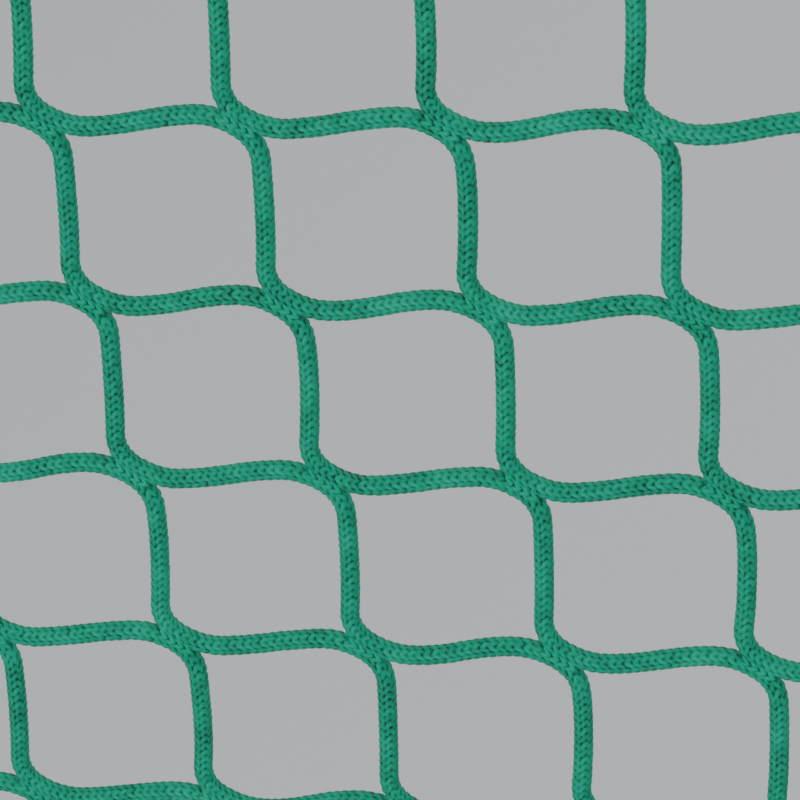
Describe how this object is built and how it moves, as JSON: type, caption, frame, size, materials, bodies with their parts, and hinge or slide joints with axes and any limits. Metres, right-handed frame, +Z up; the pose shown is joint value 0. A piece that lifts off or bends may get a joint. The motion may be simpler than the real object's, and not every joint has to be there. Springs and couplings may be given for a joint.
{
  "type": "cargo climbing net",
  "caption": "Hanging cargo climbing net of knotless square mesh, lashed to a border rope with a thimbled eye at each corner.",
  "frame": {"origin": "midway between the bores of the two upper corner thimbles", "axes": "+X along the head rope to the right, +Y through the net to its back, +Z up"},
  "size_m": [0.8792, 0.0174, 1.0764],
  "materials": {
    "netting": "knitted polypropylene cord, satin",
    "border_rope": "three-strand laid polypropylene rope, satin",
    "seizing_twine": "waxed braided twine",
    "thimble": "cast and tumbled",
    "ferrule": "pressed, satin"
  },
  "bodies": {
    "head": {"netting_row_0": "netting", "head_rope": "border_rope", "head_seizings": "seizing_twine", "thimble_head_left": "thimble", "ferrule_head_left": "ferrule", "thimble_head_right": "thimble", "ferrule_head_right": "ferrule"},
    "row_1": {"netting_row_1": "netting", "side_rope_left_1": "border_rope", "side_rope_right_1": "border_rope", "side_seizings_1": "seizing_twine"},
    "row_2": {"netting_row_2": "netting", "side_rope_left_2": "border_rope", "side_rope_right_2": "border_rope", "side_seizings_2": "seizing_twine"},
    "row_3": {"netting_row_3": "netting", "side_rope_left_3": "border_rope", "side_rope_right_3": "border_rope", "side_seizings_3": "seizing_twine"},
    "row_4": {"netting_row_4": "netting", "side_rope_left_4": "border_rope", "side_rope_right_4": "border_rope", "side_seizings_4": "seizing_twine"},
    "row_5": {"netting_row_5": "netting", "side_rope_left_5": "border_rope", "side_rope_right_5": "border_rope", "side_seizings_5": "seizing_twine"},
    "row_6": {"netting_row_6": "netting", "side_rope_left_6": "border_rope", "side_rope_right_6": "border_rope", "side_seizings_6": "seizing_twine"},
    "row_7": {"netting_row_7": "netting", "side_rope_left_7": "border_rope", "side_rope_right_7": "border_rope", "side_seizings_7": "seizing_twine"},
    "row_8": {"netting_row_8": "netting", "side_rope_left_8": "border_rope", "side_rope_right_8": "border_rope", "side_seizings_8": "seizing_twine"},
    "foot": {"netting_row_9": "netting", "foot_rope": "border_rope", "foot_seizings": "seizing_twine", "thimble_foot_left": "thimble", "ferrule_foot_left": "ferrule", "thimble_foot_right": "thimble", "ferrule_foot_right": "ferrule", "rope_sleeve": "ferrule"}
  },
  "joints": [
    {"name": "fold_1", "type": "hinge", "parent": "head", "child": "row_1", "pos_m": [0, 0, -0.11222], "axis": [1, 0, 0], "range_deg": [-30, 30]},
    {"name": "fold_2", "type": "hinge", "parent": "row_1", "child": "row_2", "pos_m": [0, 0, -0.21222], "axis": [1, 0, 0], "range_deg": [-30, 30]},
    {"name": "fold_3", "type": "hinge", "parent": "row_2", "child": "row_3", "pos_m": [0, 0, -0.31222], "axis": [1, 0, 0], "range_deg": [-30, 30]},
    {"name": "fold_4", "type": "hinge", "parent": "row_3", "child": "row_4", "pos_m": [0, 0, -0.41222], "axis": [1, 0, 0], "range_deg": [-30, 30]},
    {"name": "fold_5", "type": "hinge", "parent": "row_4", "child": "row_5", "pos_m": [0, 0, -0.51222], "axis": [1, 0, 0], "range_deg": [-30, 30]},
    {"name": "fold_6", "type": "hinge", "parent": "row_5", "child": "row_6", "pos_m": [0, 0, -0.61222], "axis": [1, 0, 0], "range_deg": [-30, 30]},
    {"name": "fold_7", "type": "hinge", "parent": "row_6", "child": "row_7", "pos_m": [0, 0, -0.71222], "axis": [1, 0, 0], "range_deg": [-30, 30]},
    {"name": "fold_8", "type": "hinge", "parent": "row_7", "child": "row_8", "pos_m": [0, 0, -0.81222], "axis": [1, 0, 0], "range_deg": [-30, 30]},
    {"name": "fold_9", "type": "hinge", "parent": "row_8", "child": "foot", "pos_m": [0, 0, -0.91222], "axis": [1, 0, 0], "range_deg": [-30, 30]}
  ]
}
